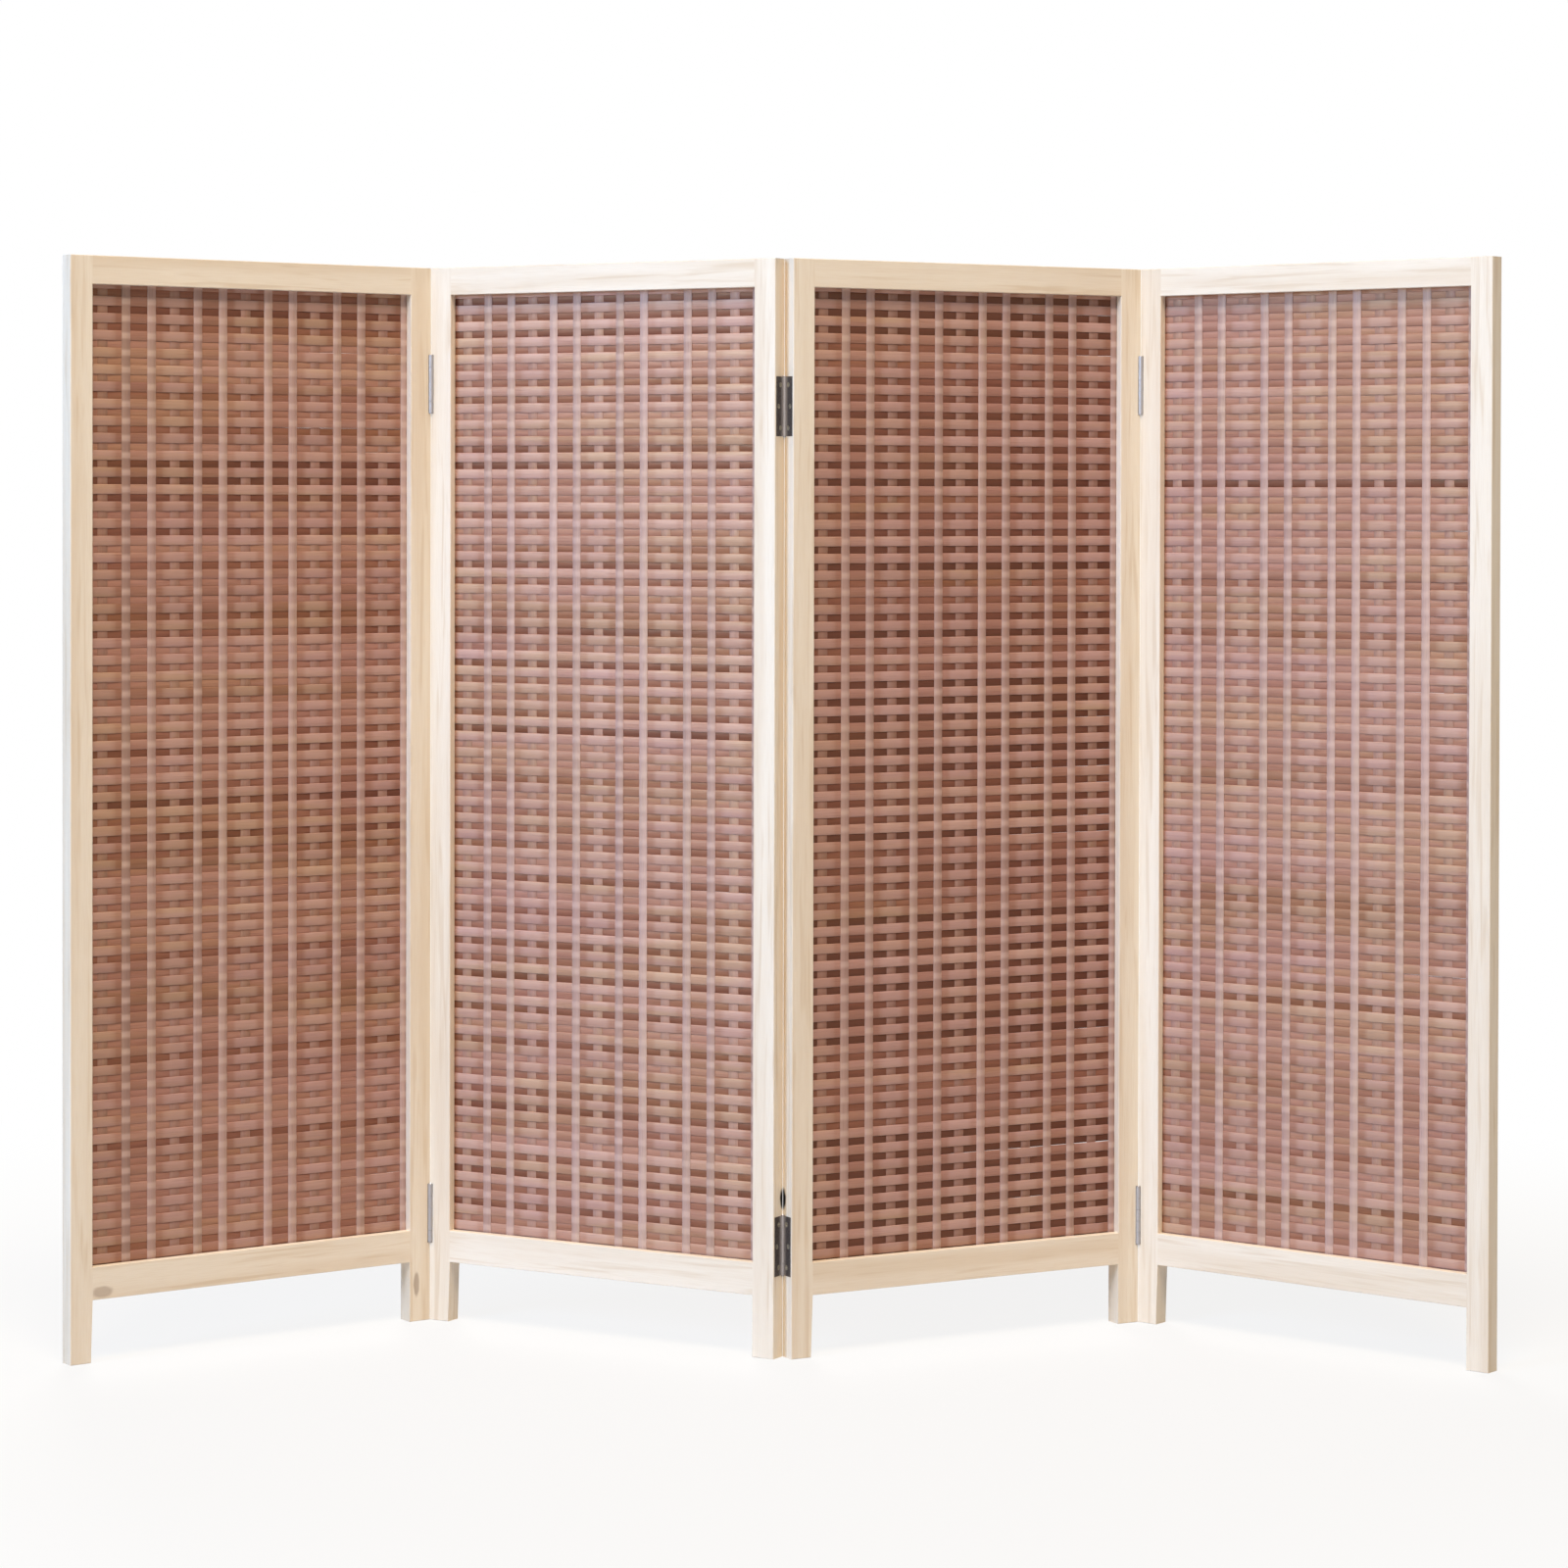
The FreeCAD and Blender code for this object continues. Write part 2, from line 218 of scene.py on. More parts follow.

# knots and other dark marks seen on the frames, by panel and board: middle and size in mm along
# the panel, back from its front and up, strength, and which colour
knotsAndMarks = {
    (1, "right_stile"): {"centre": (432, 0, 41), "size": (4.5, 8, 17),
                         "strength": 0.5, "tone": "knot"},
    # a brown mark low on the left end of the bottom rail, drawn in the knot colour
    (1, "bottom_rail"): {"centre": (38, 0, 76), "size": (15, 6, 8),
                         "strength": 0.4, "tone": "knot"},
    # a near-black mark on both edge faces at the back of the V between panels 2 and 3, just above the lower
    # hinge
    (2, "right_stile"): {"centre": (450, 20, 173), "size": (9, 8, 14),
                         "strength": 1.0, "tone": "veeBlackMark"},
    (3, "left_stile"): {"centre": (0, 20, 173), "size": (9, 8, 14),
                        "strength": 1.0, "tone": "veeBlackMark"},
}
knotAndMarkEdge = {"noise": {"scale": 90, "detail": 1}, "wobble": 0.4, "span": (0.55, 1.0)}


def withKnotsAndMarks(tree, place, color, number, part):
    # a dark eye with a soft rim; the place is turned back by the panel's angle, and so is
    # the middle of the mark
    knot = knotsAndMarks[number, part]
    unturn = Matrix.Rotation(-panelTurns[number], 4, "Z")
    centre = unturn @ (panelPlaces[number] @ (Vector(knot["centre"]) * mm))
    shifted = vectorCalc(tree, "SUBTRACT", place, centre)
    scaled = vectorCalc(tree, "DIVIDE", shifted, Vector(knot["size"]) * mm)
    wobble = calc(tree, "SUBTRACT", noise(tree, place, **knotAndMarkEdge["noise"]), 0.5)
    edge = calc(tree, "ADD", vectorCalc(tree, "LENGTH", scaled),
                calc(tree, "MULTIPLY", wobble, knotAndMarkEdge["wobble"]))
    eye = ranged(tree, edge, knotAndMarkEdge["span"], knot["strength"], 0)
    return mixColors(tree, eye, color, frameWood[knot["tone"]])


def woodMaterial(name, number, part, offset):
    # the pattern lies along local z on stiles and along local x on rails
    material, tree, shader = newMaterial(name)
    grainUp = part.endswith("stile")
    unturned = put(tree, "ShaderNodeVectorRotate", {
        "Vector": objectPlace(tree), "Angle": -panelTurns[number],
    }, rotation_type="Z_AXIS").outputs[0]
    along = frameWood["alongStretch"]
    grain = stretched(tree, unturned, (1, 1, along) if grainUp else (along, 1, 1), offset)
    tone = noise(tree, grain, **frameWood["toneNoise"])
    rings = noise(tree, grain, **frameWood["ringNoise"])
    fibres = noise(tree, grain, **frameWood["fibreNoise"])
    darker = ranged(tree, tone, frameWood["toneSpan"], 0, 1)
    color = mixColors(tree, darker, frameWood["light"], frameWood["dark"])
    for pattern, kind in ((rings, "ring"), (fibres, "fibre")):
        amount = ranged(tree, pattern, frameWood[kind + "Span"], 0, frameWood[kind + "Share"])
        color = mixColors(tree, amount, color, frameWood["grainLine"])
    if (number, part) in knotsAndMarks:
        color = withKnotsAndMarks(tree, unturned, color, number, part)
    if grainUp:
        facing = partsOf(tree, put(tree, "ShaderNodeNewGeometry").outputs["Normal"])["Z"]
        cut = ranged(tree, calc(tree, "ABSOLUTE", facing), frameWood["endGrainSpan"],
                     0, frameWood["endGrainShare"])
        color = mixColors(tree, cut, color, frameWood["endGrain"])
    tree.links.new(color, shader.inputs["Base Color"])
    rough = ranged(tree, rings, frameWood["roughnessSpan"], *frameWood["roughness"])
    tree.links.new(rough, shader.inputs["Roughness"])
    height = calc(tree, "ADD", calc(tree, "MULTIPLY", rings, frameWood["ringHeight"]),
                  calc(tree, "MULTIPLY", fibres, frameWood["fibreHeight"]))
    bumped(tree, shader, height, frameWood["bumpStrength"], frameWood["bumpDepth"])
    return material


metal = {
    "leaf": rgb(109, 102, 100),
    "leafSpots": rgb(83, 72, 68),
    "leafRoughness": 0.42,
    # pale steel: the pins' own colour, and also painted on the hinge barrels as a painted highlight
    "paleSteelAndBarrelGleam": rgb(190, 186, 188),
    "barrelGleamSpan": (3.6 * mm, 9 * mm),
    "barrelGleamShare": 0.8,
    "pinRoughness": 0.35,
    "screw": rgb(190, 184, 168),
    "screwDark": rgb(120, 108, 88),
    "screwRoughness": 0.34,
    "metallic": 0.75,
    "spotNoise": {"scale": 420, "detail": 4, "roughness": 0.6},
    "spotSpan": (0.45, 0.7),
    "spotShare": 0.7,
    "scratchStretch": (2600, 2600, 160),
    "scratchNoise": {"scale": 1, "detail": 2},
    "scratchShare": 0.3,
    "scratchStrength": 0.12,
    "scratchDepth": 0.05 * mm,
    "roughnessSpan": (0.4, 0.9),
    "smoother": 0.08,
    "rougher": 0.15,
}


def metalMaterial(name, base, spots, roughness, axis=None):
    # a plated surface with darker spots; with an axis, the barrel round it is painted bright, a painted
    # highlight
    material, tree, shader = newMaterial(name)
    place = objectPlace(tree)
    cloud = noise(tree, place, **metal["spotNoise"])
    scratch = noise(tree, stretched(tree, place, metal["scratchStretch"]), **metal["scratchNoise"])
    spotted = ranged(tree, cloud, metal["spotSpan"], 0, metal["spotShare"])
    color = mixColors(tree, spotted, base, spots)
    if axis is not None:
        offset = vectorCalc(tree, "SUBTRACT", place, axis)
        radius = vectorCalc(tree, "LENGTH", vectorCalc(tree, "MULTIPLY", offset, (1, 1, 0)))
        paleSteelAndBarrelGleam = ranged(tree, radius, metal["barrelGleamSpan"], metal["barrelGleamShare"], 0)
        color = mixColors(tree, paleSteelAndBarrelGleam, color, metal["paleSteelAndBarrelGleam"])
    tree.links.new(color, shader.inputs["Base Color"])
    shader.inputs["Metallic"].default_value = metal["metallic"]
    mixDriver = calc(tree, "ADD", cloud, calc(tree, "MULTIPLY", scratch, metal["scratchShare"]))
    rough = ranged(tree, mixDriver, metal["roughnessSpan"],
                   roughness - metal["smoother"], roughness + metal["rougher"])
    tree.links.new(rough, shader.inputs["Roughness"])
    bumped(tree, shader, scratch, metal["scratchStrength"], metal["scratchDepth"])
    return material


def dress(node, material):
    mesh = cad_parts[node].data
    mesh.materials.clear()
    mesh.materials.append(material)


def grainOffset(number, index):
    # a fresh stretch of the grain for every board
    return [number * byPanel + index * byBoard
            for byPanel, byBoard in zip(frameWood["panelShift"], frameWood["boardShift"])]


boards = ("left_stile", "right_stile", "top_rail", "bottom_rail", "mat_beads")
for number in panelPlaces:
    for index, part in enumerate(boards):
        offset = grainOffset(number, index)
        wood = woodMaterial(f"paleWood_{number}_{part}", number, part, offset)
        dress(f"panel_{number}_{part}", wood)
    offset = [number * byPanel for byPanel in frameWood["dowelShift"]]
    dress(f"panel_{number}_dowels", woodMaterial(f"dowelWood_{number}", number, "dowels", offset))

pinMetal = metalMaterial("pinSteel", metal["paleSteelAndBarrelGleam"], metal["leaf"], metal["pinRoughness"])
screwMetal = metalMaterial("screwSteel", metal["screw"], metal["screwDark"],
                           metal["screwRoughness"])
for left in range(1, panelCount):
    for level in ("lower", "upper"):
        name = f"hinge_{left}_{left + 1}_{level}"
        leafMetal = metalMaterial(f"leafSteel_{left}_{level}", metal["leaf"], metal["leafSpots"],
                                  metal["leafRoughness"], boxMiddle(name + "_pin"))
        dress(name + "_left_leaf", leafMetal)
        dress(name + "_right_leaf", leafMetal)
        dress(name + "_pin", pinMetal)
print("frame and hinge materials done")


# each kind of strip in the mats: its colours from dark to pale, and how much painted light it
# shows where it stands forward (painted shade where it dips), dark fibres, changes of hue and gloss
stains = {
    "wide": {
        "name": "wideSlatStain",
        "ramp": ((0.00, rgb(128, 87, 73)), (0.50, rgb(157, 114, 101)), (1.00, rgb(182, 143, 132))),
        "crestLight": 0.35, "fibre": 0.3, "hue": 1.0, "polish": 1.0,
    },
    "narrow": {
        # the narrow slats' dark tones are partly their own colour and partly painted shade of their
        # recessed rows
        "name": "narrowSlatStain",
        "ramp": ((0.00, rgb(84, 44, 36)), (0.30, rgb(112, 66, 54)), (0.60, rgb(140, 92, 76)),
                 (1.00, rgb(171, 126, 111))),
        "crestLight": 0.0, "fibre": 0.3, "hue": 1.0, "polish": 0.7,
    },
    "binding": {
        "name": "bindingStrip",
        "ramp": ((0.00, rgb(147, 119, 113)), (0.50, rgb(169, 140, 134)),
                 (1.00, rgb(191, 163, 157))),
        "crestLight": 0.75, "fibre": 0.15, "hue": 0.4, "polish": 0.8,
    },
    "core": {
        "name": "coreStrip",
        "ramp": ((0.00, rgb(112, 74, 61)), (0.50, rgb(146, 106, 92)), (1.00, rgb(178, 141, 128))),
        "crestLight": 0.2, "fibre": 0.2, "hue": 0.7, "polish": 0.7,
    },
}
stripFinish = {
    # a pale colour painted where strips stand forward in the weave: painted light on the crests
    "crestLight": rgb(202, 175, 168),
    "crestLightSpan": (-0.2, 1.0),
    "fibreDark": rgb(98, 58, 44),
    "fibreSpan": (0.48, 0.72),
    "tanVeil": (0.97, 1.0, 0.86, 1.0),
    "tanSpan": (0.5, 0.62),
    "mauveVeil": (0.98, 0.96, 1.04, 1.0),
    "mauveSpan": (0.5, 0.38),
    "shine": (1.0, 0.62, 0.35, 1.0),
    "patch": {"stretch": (5, 40, 40), "scale": 1.6, "detail": 2},
    "patchReach": 0.7,
    "streak": {"stretch": (18, 900, 900), "scale": 1.3, "detail": 3},
    "hue": {"stretch": (4, 55, 55), "scale": 1.0, "detail": 1},
    "band": {"stretch": (4, 4, 18), "scale": 1.0, "detail": 1},
    "roughness": (0.34, 0.56),
    "roughnessSpan": (0.3, 0.7),
    "bumpStrength": 0.5,
    "bumpDepth": 0.2 * mm,
}


def stripNoise(tree, place, kind):
    pattern = stripFinish[kind]
    place = stretched(tree, place, pattern["stretch"])
    return noise(tree, place, pattern["scale"], pattern["detail"])


def huePatched(tree, fibre, color, share):
    # some stretches lean to tan and others to mauve, slat by slat and in wider bands
    own = stripNoise(tree, fibre, "hue")
    band = stripNoise(tree, objectPlace(tree), "band")
    hue = calc(tree, "MULTIPLY_ADD", calc(tree, "ADD", own, band), 0.5, attribute(tree, "hueLean"))
    for kind in ("tan", "mauve"):
        amount = ranged(tree, hue, stripFinish[kind + "Span"], 0, share)
        color = mixColors(tree, amount, color, stripFinish[kind + "Veil"], "MULTIPLY")
    return color


def stripMaterial(kind):
    # reads the strip's stored tint, its unbent place and how far it stands forward
    stain = stains[kind]
    material, tree, shader = newMaterial(stain["name"])
    fibre = attribute(tree, "fibrePlace", "Vector")
    patch = stripNoise(tree, fibre, "patch")
    streak = stripNoise(tree, fibre, "streak")
    drift = calc(tree, "MULTIPLY", calc(tree, "SUBTRACT", patch, 0.5), stripFinish["patchReach"])
    shade = calc(tree, "ADD", attribute(tree, "slatTint"), drift)
    tones = put(tree, "ShaderNodeValToRGB", {"Fac": shade})
    steps = tones.color_ramp.elements
    while len(steps) < len(stain["ramp"]):
        steps.new(1.0)
    for step, (position, color) in zip(steps, stain["ramp"]):
        step.position = position
        step.color = color
    fibres = ranged(tree, streak, stripFinish["fibreSpan"], 0, stain["fibre"])
    color = mixColors(tree, fibres, tones.outputs[0], stripFinish["fibreDark"])
    # painted light and shade: paler where the strip stands forward, darker where it dips back
    mixDriver = ranged(tree, attribute(tree, "forward"), stripFinish["crestLightSpan"], 0, stain["crestLight"])
    color = mixColors(tree, mixDriver, color, stripFinish["crestLight"])
    color = huePatched(tree, fibre, color, stain["hue"])
    tree.links.new(color, shader.inputs["Base Color"])
    rough = ranged(tree, streak, stripFinish["roughnessSpan"], *stripFinish["roughness"])
    tree.links.new(rough, shader.inputs["Roughness"])
    shader.inputs["Specular IOR Level"].default_value = stain["polish"]
    shader.inputs["Specular Tint"].default_value = stripFinish["shine"]
    bumped(tree, shader, streak, stripFinish["bumpStrength"], stripFinish["bumpDepth"])
    return material


# geometry nodes: trees with named inputs, and meshes taken from them

def newTree(name, inputs):
    tree = bpy.data.node_groups.new(name, "GeometryNodeTree")
    tree.interface.new_socket("Geometry", in_out="OUTPUT", socket_type="NodeSocketGeometry")
    kinds = {float: "NodeSocketFloat", int: "NodeSocketInt",
             "object": "NodeSocketObject", "material": "NodeSocketMaterial"}
    for label, kind in inputs.items():
        tree.interface.new_socket(label, in_out="INPUT", socket_type=kinds[kind])
    asked = tree.nodes.new("NodeGroupInput")
    given = tree.nodes.new("NodeGroupOutput")
    return tree, asked.outputs, given.inputs[0]


def endTree(tree, pieces, asked, given):
    pieces = put(tree, "GeometryNodeRealizeInstances", {"Geometry": pieces}).outputs[0]
    inputs = {"Geometry": pieces, "Material": asked["Material"]}
    tree.links.new(put(tree, "GeometryNodeSetMaterial", inputs).outputs[0], given)
    return tree


def stored(tree, geometry, name, value, kind="FLOAT"):
    inputs = {"Geometry": geometry, "Name": name, "Value": value}
    return put(tree, "GeometryNodeStoreNamedAttribute", inputs,
               data_type=kind, domain="POINT").outputs[0]


def setOnPoints(tree, points, shape, rotation):
    inputs = {"Points": points, "Instance": shape, "Rotation": rotation}
    pieces = put(tree, "GeometryNodeInstanceOnPoints", inputs).outputs[0]
    return put(tree, "GeometryNodeRealizeInstances", {"Geometry": pieces}).outputs[0]


def grownMesh(tree, values, name):
    # runs the tree once on an empty object and keeps the plain mesh
    carrier = bpy.data.objects.new("carrier", bpy.data.meshes.new("carrier"))
    scene.collection.objects.link(carrier)
    modifier = carrier.modifiers.new("grow", "NODES")
    modifier.node_group = tree
    sockets = {s.name: s.identifier for s in tree.interface.items_tree if s.in_out == "INPUT"}
    for label, value in values.items():
        modifier[sockets[label]] = value
    graph = bpy.context.evaluated_depsgraph_get()
    mesh = bpy.data.meshes.new_from_object(carrier.evaluated_get(graph), depsgraph=graph)
    mesh.name = name
    carrier.modifiers.clear()
    bpy.data.objects.remove(carrier)
    return mesh


def keepPiece(mesh, name, place, body, slot, *nodes):
    mesh.transform(place)
    mesh.update()
    piece = bpy.data.objects.new(name, mesh)
    scene.collection.objects.link(piece)
    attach(piece, body)
    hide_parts(*nodes)
    return piece


# the mats: flat slats across, thin strips upright, bent over and under where they cross

weave = {
    "rowPitch": 18.6 * mm,
    "rows": 58,
    "repeat": 87.5 * mm,
    "stileToCore": 16.5 * mm,
    "coreToBinding": 28 * mm,
    "bindingSpacing": 31 * mm,
    "flatAtCore": 8 * mm,
    "flatAtBinding": 25 * mm,
    "bottom": 97 * mm,
    "top": 1176 * mm,
    "tucked": 7 * mm,
    "slatStations": 56,
    "stationsPerRow": 5,
    "cornerShare": 0.48,
    "slatCorner": 2,
    "stripCorner": 1,
    "slatSeed": 10,
    "stripSeed": 100,
}
wideSlats = {"width": 10.8 * mm, "thickness": 1.6 * mm, "swing": -0.22 * mm, "depth": 10.6 * mm,
             "firstRow": 110.15 * mm}
narrowSlats = {"width": 8.8 * mm, "thickness": 1.5 * mm, "swing": 0.05 * mm, "depth": 11.45 * mm,
               "firstRow": 100.85 * mm}
bindings = {"width": 10.5 * mm, "thickness": 0.6 * mm, "swing": 0.25 * mm, "depth": 9.95 * mm}
cores = {"width": 12 * mm, "thickness": 0.5 * mm, "swing": -0.35 * mm, "depth": 10.8 * mm}

# how slats stray: tilt in radians, drift from the straight line, and how their tints group
slatDrift = {"tilt": 0.0009, "tiltSeed": 7, "bendScale": 11, "bendDetail": 1,
             "bend": (0, 0.0003, 0.0005), "fibreShift": 37.0}
tintDrift = {"scale": 9, "detail": 1, "reach": 1.4}

# each mat's darkest and palest tints as seen in the photo, and how far they lean to dark; they carry
# painted light and shade, paler on the mats of panels 2 and 4, which face the key lamp, darker on panels 1
# and 3
matTintsWithPaintedLight = {
    1: {"wide": (0.15, 0.75, 1.0), "narrow": (0.15, 1.1, 0.7),
        "binding": (0.2, 0.8, 1.0), "core": (0.3, 0.5, 1.0)},
    2: {"wide": (0.4, 1.0, 1.0), "narrow": (0.25, 1.05, 0.9),
        "binding": (0.5, 1.0, 1.0), "core": (0.6, 0.85, 1.0)},
    3: {"wide": (0.35, 0.85, 1.0), "narrow": (-0.1, 0.55, 1.2),
        "binding": (0.3, 0.8, 1.0), "core": (0.1, 0.3, 1.0)},
    4: {"wide": (0.3, 0.85, 1.0), "narrow": (0.2, 1.25, 0.45),
        "binding": (0.5, 1.0, 1.0), "core": (0.6, 0.8, 1.0)},
}
# how far each mat leans to tan (up) or mauve (down)
hueLeans = {1: -0.01, 2: 0.03, 3: -0.06, 4: 0.015}


def tintValues(number, kind):
    tints = dict(zip(("Darkest", "Palest", "Tint Bias"), matTintsWithPaintedLight[number][kind]))
    return {**tints, "Hue Lean": hueLeans[number]}


def easedRing(tree, width, height, count):
    # a flat strip's section with rounded corners of so many extra points each
    sides = {"Width": width, "Height": height}
    ring = put(tree, "GeometryNodeCurvePrimitiveQuadrilateral", sides).outputs[0]
    radius = calc(tree, "MULTIPLY", calc(tree, "MINIMUM", width, height), weave["cornerShare"])
    return put(tree, "GeometryNodeFilletCurve", {
        "Curve": ring, "Count": count, "Radius": radius, "Limit Radius": True,
    }, mode="POLY").outputs[0]


def swept(tree, start, end, stations, ring):
    # one straight slat or strip, ready to be set on every point
    line = put(tree, "GeometryNodeCurvePrimitiveLine", {"Start": start, "End": end}).outputs[0]
    line = put(tree, "GeometryNodeResampleCurve", {"Curve": line, "Count": stations}).outputs[0]
    inputs = {"Curve": line, "Profile Curve": ring, "Fill Caps": True}
    return put(tree, "GeometryNodeCurveToMesh", inputs).outputs[0]


def spreadTint(tree, asked):
    # a tint for each piece, with slow drifts so that dark ones stand in groups
    chance = put(tree, "FunctionNodeRandomValue", {"Seed": asked["Seed"]},
                 data_type="FLOAT").outputs[1]
    drift = put(tree, "ShaderNodeTexNoise", {
        "Vector": put(tree, "GeometryNodeInputPosition").outputs[0], "W": asked["Seed"],
        "Scale": tintDrift["scale"], "Detail": tintDrift["detail"],
    }, noise_dimensions="4D").outputs[0]
    drift = calc(tree, "MULTIPLY", calc(tree, "SUBTRACT", drift, 0.5), tintDrift["reach"])
    mixed = calc(tree, "ADD", chance, drift)
    mixed = calc(tree, "MINIMUM", calc(tree, "MAXIMUM", mixed, 0.0), 1.0)
    leaning = calc(tree, "POWER", mixed, asked["Tint Bias"])
    span = calc(tree, "SUBTRACT", asked["Palest"], asked["Darkest"])
    return calc(tree, "MULTIPLY_ADD", leaning, span, asked["Darkest"])


def tintedPoints(tree, asked, count, first, step):
    inputs = {"Count": count, "Start Location": first, "Offset": step}
    line = put(tree, "GeometryNodeMeshLine", inputs).outputs[0]
    return stored(tree, line, "slatTint", spreadTint(tree, asked))


def wovenPieces(tree, pieces, fibrePlace, forward, bend, asked, given):
    # stores what the materials read, bends the pieces into the weave and ends the tree
    pieces = stored(tree, pieces, "fibrePlace", fibrePlace, "FLOAT_VECTOR")
    pieces = stored(tree, pieces, "forward", forward)
    pieces = put(tree, "GeometryNodeSetPosition", {"Geometry": pieces, "Offset": bend}).outputs[0]
    pieces = stored(tree, pieces, "hueLean", asked["Hue Lean"])
    pieces = put(tree, "GeometryNodeSetShadeSmooth", {0: pieces}).outputs[0]
    return endTree(tree, pieces, asked, given)


def slatTree():
    tree, asked, given = newTree("wovenSlats", {
        "Rows": int, "Row Pitch": float, "First Row": float, "Left": float, "Right": float,
        "Slat Width": float, "Slat Thickness": float, "Stations": int, "Middle Depth": float,
        "Swing": float, "First Core": float, "Repeat": float, "Flat At Core": float,
        "Flat At Binding": float, "Darkest": float, "Palest": float, "Tint Bias": float,
        "Hue Lean": float, "Seed": int, "Material": "material",
    })
    ring = easedRing(tree, asked["Slat Thickness"], asked["Slat Width"], weave["slatCorner"])
    slat = swept(tree, vectorOf(tree, X=asked["Left"]), vectorOf(tree, X=asked["Right"]),
                 asked["Stations"], ring)
    rows = tintedPoints(tree, asked, asked["Rows"], vectorOf(tree, Z=asked["First Row"]),
                        vectorOf(tree, Z=asked["Row Pitch"]))
    tilt = put(tree, "FunctionNodeRandomValue", {
        "Min": (0, -slatDrift["tilt"], 0), "Max": (0, slatDrift["tilt"], 0),
        "Seed": calc(tree, "ADD", asked["Seed"], slatDrift["tiltSeed"]),
    }, data_type="FLOAT_VECTOR").outputs[0]
    slats = setOnPoints(tree, rows, slat, tilt)

    # each slat has its own stretch of fibre, and wanders a little from its straight line
    place = put(tree, "GeometryNodeInputPosition").outputs[0]
    tint = put(tree, "GeometryNodeInputNamedAttribute", {"Name": "slatTint"},
               data_type="FLOAT").outputs[0]
    shift = vectorOf(tree, X=calc(tree, "MULTIPLY", tint, slatDrift["fibreShift"]))
    fibrePlace = vectorCalc(tree, "ADD", place, shift)
    drift = put(tree, "ShaderNodeTexNoise", {
        "Vector": fibrePlace, "Scale": slatDrift["bendScale"], "Detail": slatDrift["bendDetail"],
    }).outputs["Color"]
    drift = vectorCalc(tree, "SUBTRACT", drift, (0.5, 0.5, 0.5))
    drift = vectorCalc(tree, "MULTIPLY", drift, slatDrift["bend"])

    # the wave is 1 at a core strip and -1 between the bindings
    across = calc(tree, "SUBTRACT", partsOf(tree, place)["X"], asked["First Core"])
    fromCore = calc(tree, "PINGPONG", across, calc(tree, "MULTIPLY", asked["Repeat"], 0.5))
    wave = ranged(tree, fromCore, (asked["Flat At Core"], asked["Flat At Binding"]), 1, -1)
    depth = calc(tree, "MULTIPLY_ADD", wave, asked["Swing"], asked["Middle Depth"])
    side = calc(tree, "MULTIPLY", calc(tree, "SIGN", asked["Swing"]), -1)
    forward = calc(tree, "MULTIPLY", wave, side)
    bend = vectorCalc(tree, "ADD", vectorOf(tree, Y=depth), drift)
    return wovenPieces(tree, slats, fibrePlace, forward, bend, asked, given)


def stripTree():
    tree, asked, given = newTree("wovenStrips", {
        "Strips": int, "First Strip": float, "Strip Spacing": float, "Bottom": float, "Top": float,
        "Strip Width": float, "Strip Thickness": float, "Stations": int, "Middle Depth": float,
        "Swing": float, "Wide Row": float, "Row Pitch": float, "Darkest": float, "Palest": float,
        "Tint Bias": float, "Hue Lean": float, "Seed": int, "Material": "material",
    })
    ring = easedRing(tree, asked["Strip Width"], asked["Strip Thickness"], weave["stripCorner"])
    strip = swept(tree, vectorOf(tree, Z=asked["Bottom"]), vectorOf(tree, Z=asked["Top"]),
                  asked["Stations"], ring)
    columns = tintedPoints(tree, asked, asked["Strips"], vectorOf(tree, X=asked["First Strip"]),
                           vectorOf(tree, X=asked["Strip Spacing"]))
    strips = setOnPoints(tree, columns, strip, (0, 0, 0))

    # the fibre runs up the strip, so height comes first in the pattern's place
    place = partsOf(tree, put(tree, "GeometryNodeInputPosition").outputs[0])
    fibrePlace = vectorOf(tree, X=place["Z"], Y=place["Y"], Z=place["X"])
    above = calc(tree, "SUBTRACT", place["Z"], asked["Wide Row"])
    turns = calc(tree, "DIVIDE", above, asked["Row Pitch"])
    wave = calc(tree, "COSINE", calc(tree, "MULTIPLY", turns, 2 * math.pi))
    swing = calc(tree, "MULTIPLY", wave, asked["Swing"])
    depth = calc(tree, "SUBTRACT", asked["Middle Depth"], swing)
    forward = calc(tree, "MULTIPLY", wave, calc(tree, "SIGN", asked["Swing"]))
    return wovenPieces(tree, strips, fibrePlace, forward, vectorOf(tree, Y=depth), asked, given)


def joined(meshes, materials, name):
    # one mesh of them all; materials names the one of each mesh
    whole = bmesh.new()
    for mesh in meshes:
        whole.from_mesh(mesh)
    kept = meshes[0].copy()
    whole.to_mesh(kept)
    whole.free()
    kept.name = name
    kept.materials.clear()
    indices = []
    for mesh, material in zip(meshes, materials):
        if material.name not in kept.materials:
            kept.materials.append(material)
        indices += [kept.materials.find(material.name)] * len(mesh.polygons)
    kept.polygons.foreach_set("material_index", indices)
    return kept


stained = {kind: stripMaterial(kind) for kind in stains}
slatNodes = slatTree()
stripNodes = stripTree()
firstCore = panel["stileWidth"] + weave["stileToCore"]
slatLeft = panel["stileWidth"] - weave["tucked"]
slatRight = panel["width"] - panel["stileWidth"] + weave["tucked"]

# the upright strips: kind, sizes, distance from the core strip and number in a mat
uprights = (
    ("core", cores, 0.0, 5),
    ("binding", bindings, weave["coreToBinding"], 5),
    ("binding", bindings, weave["coreToBinding"] + weave["bindingSpacing"], 4),
)


